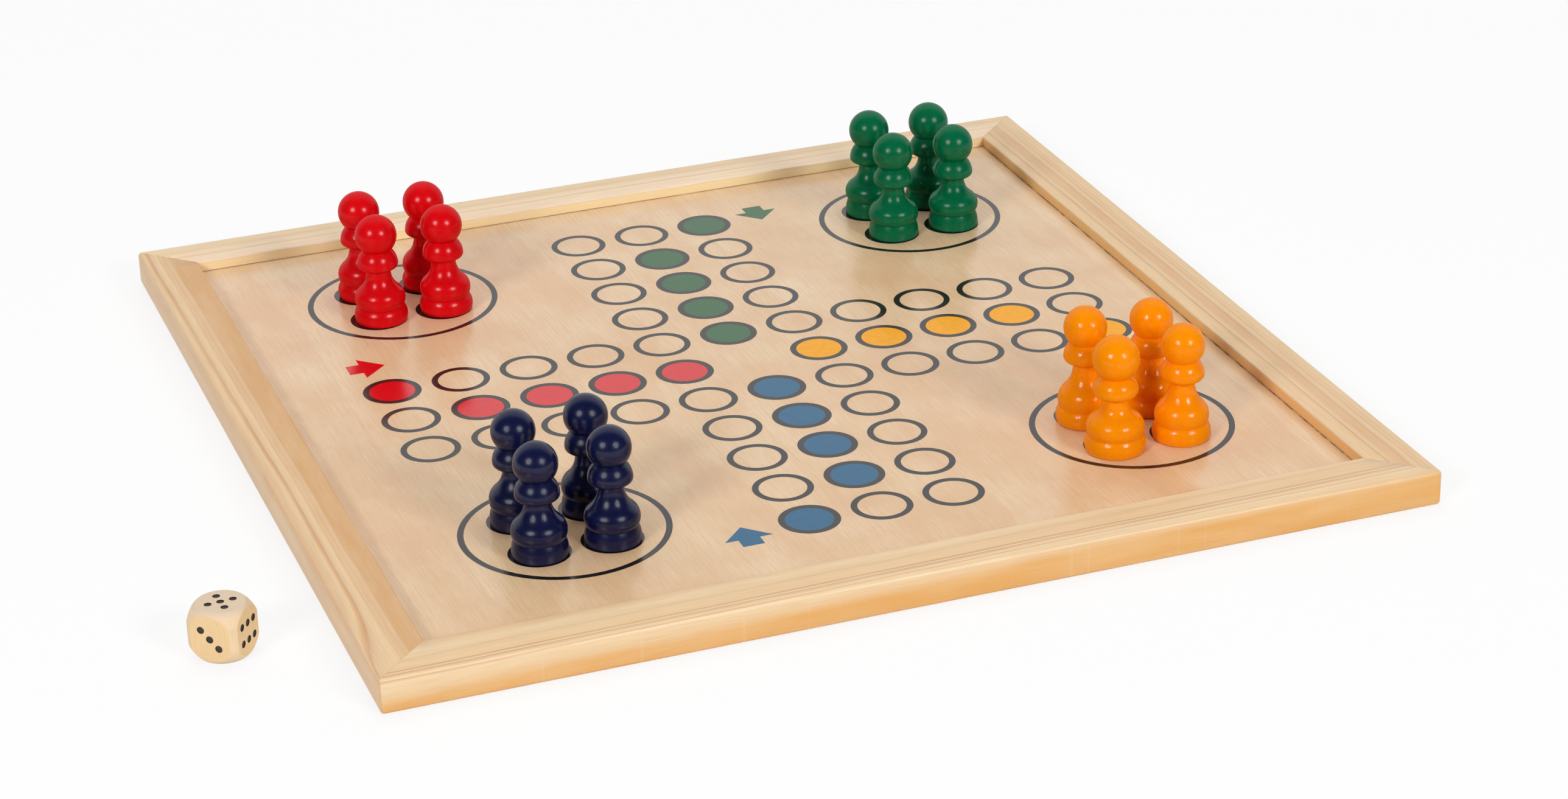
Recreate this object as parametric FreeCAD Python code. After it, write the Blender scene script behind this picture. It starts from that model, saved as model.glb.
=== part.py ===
import FreeCAD, Part
import math
import os

# Framed game board with turned pawns and a die, in millimetres.
# The origin is the centre of the frame on the playing face, +X runs along the front rail and +Z is up.

# Frame of four mitred rails
board_side = 350.0
rail_width = 18.7
rail_height = 12.0
edge_round = 1.2
inner_ease = 0.5

# Panel held in the rails' groove, sunk below their tops
recess_depth = 4.0
panel_thickness = 4.0
groove_depth = 6.0
groove_play = 0.1
panel_edge_gap = 0.5

# Homes, one in each corner of the print, which sits a little off the frame's centre
home_margin = 58.0
print_shift_x = 4.3
print_shift_y = 1.9
pawn_spacing = 23.9

# How far each colour's pawns stand off their spots, to the right and to the back
red_stray = (0.9, -0.6)
green_stray = (0.6, -0.5)
blue_stray = (0.0, -0.8)
orange_stray = (-1.0, -2.8)

# Turned pawn, from its foot to the top of its head
base_diameter = 18.4
base_height = 5.7
base_swell = 0.45
foot_round = 0.6
waist_diameter = 16.4
bell_diameter = 18.0
bell_rise = 2.8
shoulder_diameter = 14.4
shoulder_rise = 6.7
neck_rise = 14.4
neck_diameter = 8.4
collar_diameter = 14.5
collar_edge = 1.5
collar_height = 6.7
head_seat_diameter = 10.0
head_diameter = 14.35

# Die beside the board's left rail, a cube taken down by a ball, and by a drum along its upright edges
die_side = 17.2
die_ball_diameter = 23.0
die_drum_diameter = 21.6
die_turn = 50.5
die_from_rail = 33.8
die_from_front = 56.4
pip_diameter = 2.4
pip_depth = 0.3
pip_spread = 2.8
six_reach = 3.6

opening_half = board_side / 2 - rail_width
table = recess_depth - rail_height
up = FreeCAD.Vector(0, 0, 1)


def point(radius, height):
    return FreeCAD.Vector(radius, 0, height)


def line(a, b):
    return Part.makeLine(a, b)


def arc(a, through, b):
    return Part.Arc(a, through, b).toShape()


def swollen(a, b, swell):
    # An arc from a up to b whose middle stands out from the straight line by the swell
    along = b - a
    out = FreeCAD.Vector(along.z, 0, -along.x).normalize()
    return arc(a, (a + b) * 0.5 + out * swell, b)


def quarter(start, corner, end):
    # A rounded corner between two lines at right angles
    centre = start + end - corner
    radius = (start - centre).Length
    middle = centre + (corner - centre).normalize() * radius
    return arc(start, middle, end)


def flowing(edge, end):
    # An arc that carries on smoothly from the end of an edge
    start = edge.valueAt(edge.LastParameter)
    heading = edge.tangentAt(edge.LastParameter)
    chord = end - start
    aside = (heading - chord * (heading.dot(chord) / chord.dot(chord))).normalize()
    height = chord.Length / 2 * math.tan(heading.getAngle(chord) / 2)
    return arc(start, start + chord * 0.5 + aside * height, end)


def solid_face(edges):
    return Part.Face(Part.Wire(edges))


def frame_block():
    # The frame's outer form with every outer edge and corner rounded
    half = board_side / 2
    block = Part.makeBox(board_side, board_side, rail_height, FreeCAD.Vector(-half, -half, table))
    return block.makeFillet(edge_round, block.Edges)


def rail_section():
    # The front rail's section: eased inner edges and the groove for the panel
    def at(y, z):
        return FreeCAD.Vector(-board_side / 2, y, z)
    outer = -board_side / 2
    inner = -opening_half
    floor = inner - groove_depth
    top = recess_depth
    edges = [
        line(at(outer, table), at(inner - inner_ease, table)),
        quarter(at(inner - inner_ease, table), at(inner, table), at(inner, table + inner_ease)),
        line(at(inner, table + inner_ease), at(inner, -panel_thickness)),
        line(at(inner, -panel_thickness), at(floor, -panel_thickness)),
        line(at(floor, -panel_thickness), at(floor, groove_play)),
        line(at(floor, groove_play), at(inner, groove_play)),
        line(at(inner, groove_play), at(inner, top - inner_ease)),
        quarter(at(inner, top - inner_ease), at(inner, top), at(inner - inner_ease, top)),
        line(at(inner - inner_ease, top), at(outer, top)),
        line(at(outer, top), at(outer, table)),
    ]
    return solid_face(edges)


def mitred_rail():
    # The front rail: its section along the whole side, cut to the mitres and to the frame's rounded form
    half = board_side / 2
    moulding = rail_section().extrude(FreeCAD.Vector(board_side, 0, 0))
    plan = [(-half, -half), (half, -half), (opening_half, -opening_half), (-opening_half, -opening_half)]
    corners = [FreeCAD.Vector(x, y, table) for x, y in plan]
    wedge = Part.Face(Part.makePolygon(corners + corners[:1])).extrude(up * rail_height)
    return moulding.common(wedge).common(frame_block()).Solids[0]


def panel():
    half = opening_half + groove_depth - panel_edge_gap
    corner = FreeCAD.Vector(-half, -half, -panel_thickness)
    return Part.makeBox(2 * half, 2 * half, panel_thickness, corner)


def turned_pawn():
    # A half profile of arcs from the foot to the head, turned about the upright axis
    base_radius = base_diameter / 2
    collar_radius = collar_diameter / 2
    head_radius = head_diameter / 2
    seat_radius = head_seat_diameter / 2
    neck_height = base_height + neck_rise
    seat_height = neck_height + collar_height
    head_centre = seat_height + math.sqrt(head_radius ** 2 - seat_radius ** 2)
    foot = point(base_radius - foot_round, 0)
    base = point(base_radius, foot_round)
    waist = point(waist_diameter / 2, base_height)
    widest = point(bell_diameter / 2, base_height + bell_rise)
    shoulder = point(shoulder_diameter / 2, base_height + shoulder_rise)
    neck = point(neck_diameter / 2, neck_height)
    under = point(collar_radius - collar_edge, neck_height)
    seat = point(seat_radius, seat_height)
    crown = point(0, head_centre + head_radius)
    bell = arc(waist, widest, shoulder)
    rim = quarter(under, point(collar_radius, neck_height), point(collar_radius, neck_height + collar_edge))
    profile = [
        line(point(0, 0), foot),
        quarter(foot, point(base_radius, 0), base),
        swollen(base, waist, base_swell),
        bell,
        flowing(bell, neck),
        line(neck, under),
        rim,
        flowing(rim, seat),
        arc(seat, point(head_radius, head_centre), crown),
        line(crown, point(0, 0)),
    ]
    return solid_face(profile).revolve(FreeCAD.Vector(), up, 360)


def pip_places(count):
    # Pip centres on a face for the numbers one to six
    places = []
    reach = six_reach if count == 6 else pip_spread
    if count % 2:
        places.append((0, 0))
    if count > 1:
        places += [(reach, pip_spread), (-reach, -pip_spread)]
    if count > 3:
        places += [(-reach, pip_spread), (reach, -pip_spread)]
    if count == 6:
        places += [(0, pip_spread), (0, -pip_spread)]
    return places


def die():
    # Opposite faces add up to seven, with the five on top
    half = die_side / 2
    x_axis = FreeCAD.Vector(1, 0, 0)
    y_axis = FreeCAD.Vector(0, 1, 0)
    faces = [(5, x_axis, 0), (2, x_axis, 180), (6, x_axis, 90), (1, x_axis, -90)]
    faces += [(3, y_axis, -90), (4, y_axis, 90)]
    cube = Part.makeBox(die_side, die_side, die_side, FreeCAD.Vector(-half, -half, -half))
    drum = Part.makeCylinder(die_drum_diameter / 2, die_side, FreeCAD.Vector(0, 0, -half))
    body = cube.common(drum).common(Part.makeSphere(die_ball_diameter / 2))
    pips = []
    for count, axis, turn in faces:
        for x, y in pip_places(count):
            pip = Part.makeCylinder(pip_diameter / 2, 2 * pip_depth, FreeCAD.Vector(x, y, half - pip_depth))
            pip.rotate(FreeCAD.Vector(), axis, turn)
            pips.append(pip)
    body = body.cut(pips)
    body.rotate(FreeCAD.Vector(), up, die_turn)
    beside = -board_side / 2 - die_from_rail
    along = -board_side / 2 + die_from_front
    body.translate(FreeCAD.Vector(beside, along, table + half))
    return body


def standing_place(side, step, stray):
    # Where a pawn stands: a home lies towards a corner of the board and holds two rows of two
    home = opening_half - home_margin
    x = print_shift_x + side[0] * home + step[0] * pawn_spacing / 2 + stray[0]
    y = print_shift_y + side[1] * home + step[1] * pawn_spacing / 2 + stray[1]
    return FreeCAD.Vector(x, y, 0)


def save(name, shape):
    shape.exportStep(os.path.join("parts", name + ".step"))


os.makedirs("parts", exist_ok=True)

rail = mitred_rail()
for number, name in enumerate(["front", "right", "back", "left"]):
    turned = rail.copy()
    turned.rotate(FreeCAD.Vector(), up, 90 * number)
    save("rail_" + name, turned)
save("playing_panel", panel())

pawn = turned_pawn()
homes = {
    "red": ((-1, 1), red_stray),
    "green": ((1, 1), green_stray),
    "blue": ((-1, -1), blue_stray),
    "orange": ((1, -1), orange_stray),
}
steps = [(-1, -1), (1, -1), (-1, 1), (1, 1)]
for colour, (side, stray) in homes.items():
    for number, step in enumerate(steps, 1):
        save("pawn_%s_%d" % (colour, number), pawn.translated(standing_place(side, step, stray)))

save("die", die())
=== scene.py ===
import math
import bpy
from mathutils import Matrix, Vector


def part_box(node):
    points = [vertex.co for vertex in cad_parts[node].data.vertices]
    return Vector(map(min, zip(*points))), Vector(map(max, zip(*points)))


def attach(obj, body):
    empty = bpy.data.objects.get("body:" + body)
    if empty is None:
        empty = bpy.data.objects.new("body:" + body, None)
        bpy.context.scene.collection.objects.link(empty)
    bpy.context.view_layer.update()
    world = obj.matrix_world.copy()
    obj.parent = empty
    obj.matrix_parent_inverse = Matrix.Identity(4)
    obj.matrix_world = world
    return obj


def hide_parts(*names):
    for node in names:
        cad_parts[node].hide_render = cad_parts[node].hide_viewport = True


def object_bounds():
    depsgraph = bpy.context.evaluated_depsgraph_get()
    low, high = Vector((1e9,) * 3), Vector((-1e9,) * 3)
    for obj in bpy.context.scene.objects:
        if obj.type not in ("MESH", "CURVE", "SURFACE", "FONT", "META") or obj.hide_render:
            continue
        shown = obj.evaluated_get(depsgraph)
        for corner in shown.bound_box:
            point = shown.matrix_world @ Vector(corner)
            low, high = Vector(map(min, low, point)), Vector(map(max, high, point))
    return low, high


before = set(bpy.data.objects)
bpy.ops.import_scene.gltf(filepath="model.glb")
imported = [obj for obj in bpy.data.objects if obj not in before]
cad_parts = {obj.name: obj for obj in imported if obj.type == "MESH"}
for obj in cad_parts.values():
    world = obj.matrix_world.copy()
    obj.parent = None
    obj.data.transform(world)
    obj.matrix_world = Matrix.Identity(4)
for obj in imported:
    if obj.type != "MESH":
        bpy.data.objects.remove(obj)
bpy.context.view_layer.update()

mm = 0.001   # the pieces' lengths are in millimetres, the studio's in metres
hair = 1e-6   # a gap too small to count, in metres
print("frame loaded:", len(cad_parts), "nodes")


# Small helpers for picking and shaping

def clearSelection():
    if bpy.context.object and bpy.context.object.mode != "OBJECT":
        bpy.ops.object.mode_set(mode="OBJECT")
    bpy.ops.object.select_all(action="DESELECT")


def takeUp(piece):
    clearSelection()
    piece.select_set(True)
    bpy.context.view_layer.objects.active = piece


def startEdit(piece, everything=True):
    takeUp(piece)
    bpy.ops.object.mode_set(mode="EDIT")
    bpy.ops.mesh.select_all(action="SELECT" if everything else "DESELECT")


def endEdit():
    bpy.ops.object.mode_set(mode="OBJECT")


def pickFaces(piece, test):
    startEdit(piece, False)
    bpy.ops.mesh.select_mode(type="FACE")
    endEdit()
    for face in piece.data.polygons:
        face.select = test(face.center, face.normal)
    bpy.ops.object.mode_set(mode="EDIT")


def pickEdges(piece, test):
    startEdit(piece, False)
    bpy.ops.mesh.select_mode(type="EDGE")
    endEdit()
    corners = piece.data.vertices
    for edge in piece.data.edges:
        edge.select = test(corners[edge.vertices[0]].co, corners[edge.vertices[1]].co)
    bpy.ops.object.mode_set(mode="EDIT")


def isLevel(normal):
    return abs(normal.z) > 0.9


def isUpright(normal):
    return abs(normal.z) < 0.1


def bevel(size, steps):
    bpy.ops.mesh.bevel(offset=size * mm, segments=steps, affect="EDGES")


def settle(piece):
    takeUp(piece)
    bpy.ops.object.transform_apply(location=True, rotation=True, scale=True)


def closeUp(piece):
    startEdit(piece)
    bpy.ops.mesh.remove_doubles(threshold=hair)
    bpy.ops.mesh.normals_make_consistent(inside=False)
    endEdit()


def smooth(piece, degrees):
    takeUp(piece)
    bpy.ops.object.shade_smooth_by_angle(angle=math.radians(degrees))


def addModifier(piece, kind, **settings):
    takeUp(piece)
    modifier = piece.modifiers.new(kind.lower(), kind)
    for name, value in settings.items():
        setattr(modifier, name, value)
    bpy.ops.object.modifier_apply(modifier=modifier.name)


def twin(piece, name):
    copy = piece.copy()
    copy.data = piece.data.copy()
    copy.name = name
    bpy.context.scene.collection.objects.link(copy)
    return copy


def gather(pieces, name):
    clearSelection()
    for piece in pieces:
        piece.select_set(True)
    bpy.context.view_layer.objects.active = pieces[0]
    bpy.ops.object.join()
    pieces[0].name = name
    return pieces[0]


def drop(piece):
    bpy.data.objects.remove(piece, do_unlink=True)


def dress(piece, body, slot, *materials):
    piece.data.materials.clear()
    for material in materials:
        piece.data.materials.append(material)
    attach(piece, body)


# Small helpers for shader nodes

def srgb(red, green, blue):
    def toLinear(level):
        share = level / 255
        return share / 12.92 if share <= 0.04045 else ((share + 0.055) / 1.055) ** 2.4
    return (toLinear(red), toLinear(green), toLinear(blue), 1.0)


def toned(colour, factor):
    return [level * factor for level in colour[:3]] + [1.0]


def inMetres(lengths):
    return [length * mm for length in lengths]


def feed(tree, socket, value):
    if isinstance(value, bpy.types.NodeSocket):
        tree.links.new(value, socket)
    else:
        socket.default_value = value


def add(tree, kind, inputs=None, **settings):
    node = tree.nodes.new("ShaderNode" + kind)
    for name, value in settings.items():
        setattr(node, name, value)
    for name, value in (inputs or {}).items():
        feed(tree, node.inputs[name], value)
    return node


def calc(tree, operation, *values):
    node = add(tree, "Math", operation=operation)
    for socket, value in zip(node.inputs, values):
        feed(tree, socket, value)
    return node.outputs[0]


def times(tree, first, second):
    return calc(tree, "MULTIPLY", first, second)


def noise(tree, vector, scale, detail, roughness=0.5):
    inputs = {"Vector": vector, "Scale": scale, "Detail": detail, "Roughness": roughness}
    return add(tree, "TexNoise", inputs).outputs[0]


def lineNoise(tree, place, scale, detail):
    inputs = {"W": place, "Scale": scale, "Detail": detail}
    return add(tree, "TexNoise", inputs, noise_dimensions="1D").outputs[0]


def fade(tree, value, low, high, toLow=0.0, toHigh=1.0):
    inputs = {"Value": value, "From Min": low, "From Max": high, "To Min": toLow, "To Max": toHigh}
    return add(tree, "MapRange", inputs, interpolation_type="SMOOTHSTEP").outputs[0]


def squareReach(tree, x, y):
    # how far out a point lies, in squares
    return calc(tree, "MAXIMUM", calc(tree, "ABSOLUTE", x), calc(tree, "ABSOLUTE", y))


def blend(tree, factor, first, second):
    node = add(tree, "Mix", data_type="RGBA")
    feed(tree, node.inputs[0], factor)
    feed(tree, node.inputs[6], first)
    feed(tree, node.inputs[7], second)
    return node.outputs[2]


def stain(tree, colour, shade, mask, effect, most=1.0):
    # tints a colour where the mask rises through the effect's span
    return blend(tree, fade(tree, mask, *effect["span"], 0.0, effect["share"] * most), colour, shade)


def wash(tree, colour, shade, mask, effect):
    # tints a colour evenly with the mask
    return blend(tree, times(tree, mask, effect["share"]), colour, shade)


def turned(tree, vector, place=(0, 0, 0), turn=(0, 0, 0), scale=(1, 1, 1)):
    angles = [math.radians(a) for a in turn]
    inputs = {"Vector": vector, "Location": place, "Rotation": angles, "Scale": scale}
    return add(tree, "Mapping", inputs).outputs[0]


def newGroup(name, inputs, outputs):
    tree = bpy.data.node_groups.new(name, "ShaderNodeTree")
    for label, kind in inputs.items():
        tree.interface.new_socket(label, in_out="INPUT", socket_type="NodeSocket" + kind)
    for label, kind in outputs.items():
        tree.interface.new_socket(label, in_out="OUTPUT", socket_type="NodeSocket" + kind)
    start = tree.nodes.new("NodeGroupInput").outputs
    end = tree.nodes.new("NodeGroupOutput").inputs
    return tree, start, end


def useGroup(tree, group, **inputs):
    node = add(tree, "Group", node_tree=group)
    for name, value in inputs.items():
        feed(tree, node.inputs[name], value)
    return node.outputs


def newMaterial(name):
    material = bpy.data.materials.new(name)
    material.use_nodes = True
    tree = material.node_tree
    shader = tree.nodes["Principled BSDF"]
    place = add(tree, "TexCoord").outputs["Object"]
    return material, tree, shader, place


def cover(tree, shader, colour, mask, finish):
    # the roughness follows the mask
    feed(tree, shader.inputs["Base Color"], colour)
    feed(tree, shader.inputs["Roughness"], fade(tree, mask, *finish["roughness"]))


def roughen(tree, shader, height, relief):
    strength, depth = relief
    inputs = {"Height": height, "Strength": strength, "Distance": depth * mm}
    feed(tree, shader.inputs["Normal"], add(tree, "Bump", inputs).outputs[0])


# Shared effects: fibre and growth rings run along X, the turning tool's ridges lie level

def makeFibre():
    # streaks much longer than wide, 0 to 1
    tree, start, end = newGroup("woodFibre", {"Vector": "Vector", "Length": "Float", "Width": "Float"},
                                {"Streak": "Float"})
    along = calc(tree, "DIVIDE", 1.0, start["Length"])
    across = calc(tree, "DIVIDE", 1.0, start["Width"])
    size = add(tree, "CombineXYZ", {"X": along, "Y": across, "Z": across}).outputs[0]
    vector = add(tree, "VectorMath", {0: start["Vector"], 1: size}, operation="MULTIPLY").outputs[0]
    feed(tree, end["Streak"], noise(tree, vector, scale=1.0, detail=3.0, roughness=0.6))
    return tree


def makeRings():
    # growth rings round the X axis: pale early wood that darkens slowly and ends sharply
    tree, start, end = newGroup("growthRings", {"Vector": "Vector", "Gap": "Float", "Warp": "Float"},
                                {"Late": "Float"})
    stretched = turned(tree, start["Vector"], scale=(9, 60, 60))
    wander = noise(tree, stretched, scale=1.0, detail=2.0)
    shift = times(tree, calc(tree, "SUBTRACT", wander, 0.5), start["Warp"])
    flat = turned(tree, start["Vector"], scale=(0, 1, 1))
    radius = add(tree, "VectorMath", {0: flat}, operation="LENGTH").outputs["Value"]
    count = calc(tree, "DIVIDE", calc(tree, "ADD", radius, shift), start["Gap"])
    step = calc(tree, "FRACT", count)
    rise = fade(tree, step, 0.25, 0.9)
    fall = fade(tree, step, 0.93, 1.0, 1.0, 0.0)
    inputs = {"W": calc(tree, "FLOOR", count)}
    strength = add(tree, "TexWhiteNoise", inputs, noise_dimensions="1D").outputs[0]
    late = times(tree, times(tree, rise, fall), fade(tree, strength, 0.0, 1.0, 0.25, 1.0))
    feed(tree, end["Late"], late)
    return tree


def makeMottle():
    # soft clouds of tone, 0 to 1
    tree, start, end = newGroup("softMottle", {"Vector": "Vector", "Size": "Float"}, {"Cloud": "Float"})
    scale = calc(tree, "DIVIDE", 1.0, start["Size"])
    cloud = noise(tree, start["Vector"], scale=scale, detail=3.0, roughness=0.55)
    feed(tree, end["Cloud"], fade(tree, cloud, 0.3, 0.7))
    return tree


def makeLathe():
    # fine level ridges left by the turning tool, 0 to 1
    tree, start, end = newGroup("latheRidges", {"Vector": "Vector", "Pitch": "Float"}, {"Ridge": "Float"})
    height = add(tree, "SeparateXYZ", {0: start["Vector"]}).outputs[2]
    wander = noise(tree, start["Vector"], scale=160.0, detail=1.0)
    wobble = 1.6
    level = calc(tree, "MULTIPLY_ADD", wander, wobble, calc(tree, "DIVIDE", height, start["Pitch"]))
    feed(tree, end["Ridge"], lineNoise(tree, level, scale=1.0, detail=2.0))
    return tree


woodFibre = makeFibre()
growthRings = makeRings()
softMottle = makeMottle()
latheRidges = makeLathe()


def streaks(tree, vector, effect):
    length, width = effect["size"]
    return useGroup(tree, woodFibre, Vector=vector, Length=length * mm, Width=width * mm)["Streak"]


def clouds(tree, vector, effect):
    return useGroup(tree, softMottle, Vector=vector, Size=effect["size"] * mm)["Cloud"]


# Pine of the rails: bands of growth run along each rail, from its outer face over the top to the inner face

pine = {
    # white is a painted sheen, used along the back rail's top
    "white": srgb(247, 223, 193),
    "pale": srgb(240, 213, 173),
    "cream": srgb(233, 200, 155),
    "grey": srgb(222, 189, 148),
    "tan": srgb(221, 176, 127),
    "brown": srgb(203, 152, 108),
    "amber": srgb(214, 164, 108),
    "golden": srgb(228, 170, 94),
    "honey": srgb(255, 232, 170),
    "straw": srgb(246, 184, 98),
    "duct": srgb(172, 104, 64),
    # each rail's inner colour tints its inner face: partly the wood's tone, partly painted bounce light
    # from the panel
    # place of each band across the top: 0 at the outer edge, 1 at the inner, below 0 down the outer face
    "rails": {
        "front": {
            "turn": 0, "slope": 0.2, "fan": 0.0, "waver": 0.07, "ducts": 0.25, "inner": "golden",
            "bands": [
                (-0.75, "golden"), (-0.3, "golden"), (-0.12, "cream"), (0.08, "pale"), (0.13, "tan"),
                (0.15, "pale"), (0.24, "grey"), (0.27, "brown"), (0.29, "pale"), (0.36, "brown"),
                (0.38, "cream"), (0.6, "cream"), (0.68, "grey"), (0.7, "cream"), (0.85, "pale"),
                (1.0, "cream"), (1.2, "tan")],
        },
        "right": {
            "turn": -90, "slope": 0.06, "fan": 0.0, "waver": 0.05, "ducts": 0.2, "inner": "straw",
            "bands": [
                (-0.75, "cream"), (-0.1, "cream"), (0.1, "cream"), (0.2, "cream"), (0.215, "tan"),
                (0.24, "cream"), (0.32, "tan"), (0.34, "cream"), (0.42, "grey"), (0.44, "brown"),
                (0.47, "tan"), (0.58, "tan"), (0.64, "grey"), (0.7, "cream"), (0.735, "brown"),
                (0.75, "grey"), (0.82, "cream"), (1.0, "cream"), (1.2, "golden")],
        },
        # the back rail's bands follow its grain; the white ones along the top are a painted sheen
        "back": {
            "turn": -180, "slope": 0.05, "fan": 0.0, "waver": 0.06, "ducts": 0.3, "inner": "honey",
            "bands": [
                (-0.75, "tan"), (-0.1, "cream"), (0.05, "pale"), (0.2, "pale"), (0.34, "cream"),
                (0.36, "pale"), (0.5, "white"), (0.62, "cream"), (0.64, "white"), (1.0, "white"),
                (1.2, "golden")],
        },
        "left": {
            "turn": -270, "slope": 0.09, "fan": 0.31, "waver": 0.1, "ducts": 0.75, "inner": "golden",
            "bands": [
                (-0.75, "tan"), (-0.35, "grey"), (-0.1, "tan"), (0.06, "grey"), (0.16, "cream"),
                (0.2, "tan"), (0.24, "brown"), (0.27, "grey"), (0.34, "cream"), (0.38, "cream"),
                (0.42, "tan"), (0.45, "grey"), (0.5, "tan"), (0.56, "grey"), (0.6, "amber"),
                (1.0, "amber"), (1.2, "golden")],
        },
    },
}

pineFinish = {   # depths and the fan's width are shares of the rail's width
    "fanLength": 55.0,
    "fanWidth": 0.5,
    "fanDepth": 0.08,
    "wander": (9, 28, 28),
    "lines": {"scale": 34.0, "span": (0.5, 0.75), "share": 0.3, "relief": 0.5},
    "cloud": {"size": 6.0, "stretch": (0.15, 1, 1), "share": 0.25},
    "fibre": {"size": (14.0, 0.35), "span": (0.4, 0.75), "share": 0.25},
    "ducts": {"size": (4.5, 0.3), "span": (0.7, 0.78), "share": 1.0},
    "saw": {"scale": 300.0, "span": (0.66, 0.8), "share": 0.16, "depth": (0.05, 0.12)},
    # the inner face's tint is partly painted bounce light from the panel
    "inner": {"edge": (0.35, 0.05), "depth": (0.02, 0.06), "share": 0.65},
    "roughness": (0.2, 0.8, 0.36, 0.48),   # the mask from and to, then the roughness
    "specular": 0.35,
    "relief": (0.12, 0.1),   # strength and depth
}


def bandColour(tree, place, bands):
    low, high = bands[0][0], bands[-1][0]
    share = calc(tree, "DIVIDE", calc(tree, "SUBTRACT", place, low), high - low)
    node = add(tree, "ValToRGB", {"Fac": share})
    ends = node.color_ramp.elements
    ends[0].color = pine[bands[0][1]]
    ends[1].color = pine[bands[-1][1]]
    for where, name in bands[1:-1]:
        ends.new((where - low) / (high - low)).color = pine[name]
    return node.outputs[0]


def fannedGrain(tree, along, across, depth, end, most):
    # a rail's bands spread out towards its end, on the outer half of its top
    nearEnd = fade(tree, along, end - pineFinish["fanLength"] * mm, end, 0.0, most)
    nearEdge = fade(tree, across, 0.0, pineFinish["fanWidth"], 1.0, 0.0)
    onTop = fade(tree, depth, 0.0, pineFinish["fanDepth"], 1.0, 0.0)
    return times(tree, nearEnd, times(tree, nearEdge, onTop))


def pineMaterial(side):
    values = pine["rails"][side]
    finish = pineFinish
    low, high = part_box("rail_front")
    width = high.y - low.y
    material, tree, shader, place = newMaterial("pine" + side.capitalize())
    rail = turned(tree, place, turn=(0, 0, values["turn"]))
    along, across, height = add(tree, "SeparateXYZ", {0: rail}).outputs
    depth = calc(tree, "DIVIDE", calc(tree, "SUBTRACT", high.z, height), width)
    growth = calc(tree, "DIVIDE", calc(tree, "SUBTRACT", across, low.y), width)
    fan = fannedGrain(tree, along, growth, depth, high.x, values["fan"])
    growth = calc(tree, "SUBTRACT", calc(tree, "ADD", growth, fan), depth)
    growth = calc(tree, "MULTIPLY_ADD", along, -values["slope"] / high.x, growth)
    stretched = turned(tree, rail, scale=finish["wander"])
    wander = noise(tree, stretched, scale=1.0, detail=2.0)
    growth = calc(tree, "MULTIPLY_ADD", calc(tree, "SUBTRACT", wander, 0.5), 2 * values["waver"], growth)
    lines = lineNoise(tree, growth, scale=finish["lines"]["scale"], detail=2.0)
    fibre = streaks(tree, rail, finish["fibre"])
    ducts = streaks(tree, rail, finish["ducts"])
    cloud = clouds(tree, turned(tree, rail, scale=finish["cloud"]["stretch"]), finish["cloud"])
    saw = lineNoise(tree, along, scale=finish["saw"]["scale"], detail=3.0)
    sawn = fade(tree, saw, *finish["saw"]["span"], 0.0, finish["saw"]["share"])
    sawn = times(tree, sawn, fade(tree, depth, *finish["saw"]["depth"]))
    # painted bounce light: the inner face below the top takes the rail's own inner colour, partly the
    # wood's tone
    edgeStart, edgeEnd = [high.y - reach * mm for reach in finish["inner"]["edge"]]
    belowTop = fade(tree, depth, *finish["inner"]["depth"], 0.0, finish["inner"]["share"])
    inner = times(tree, fade(tree, across, edgeStart, edgeEnd), belowTop)
    colour = bandColour(tree, growth, values["bands"])
    colour = stain(tree, colour, pine["tan"], lines, finish["lines"])
    colour = wash(tree, colour, pine["pale"], cloud, finish["cloud"])
    colour = stain(tree, colour, pine["brown"], fibre, finish["fibre"])
    colour = blend(tree, inner, colour, pine[values["inner"]])
    colour = blend(tree, sawn, colour, pine["pale"])
    colour = stain(tree, colour, pine["duct"], ducts, finish["ducts"], values["ducts"])
    cover(tree, shader, colour, fibre, finish)
    shader.inputs["Specular IOR Level"].default_value = finish["specular"]
    ridges = calc(tree, "ADD", fibre, times(tree, lines, finish["lines"]["relief"]))
    roughen(tree, shader, ridges, finish["relief"])
    return material


# Rails: one square frame is shaped whole and then sawn apart at the mitres

frameShape = {
    "edgeRound": 1.3,
    "edgeSteps": 5,
    "innerEase": 0.5,
    "easeSteps": 3,
    "mitreEase": 0.1,
    "groovePlay": 0.1,
    "panelGap": 0.5,
    "slices": 48,
    "wear": 0.12,
    "wearSize": 12.0,
    "shadeAngle": 40,
}


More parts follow.
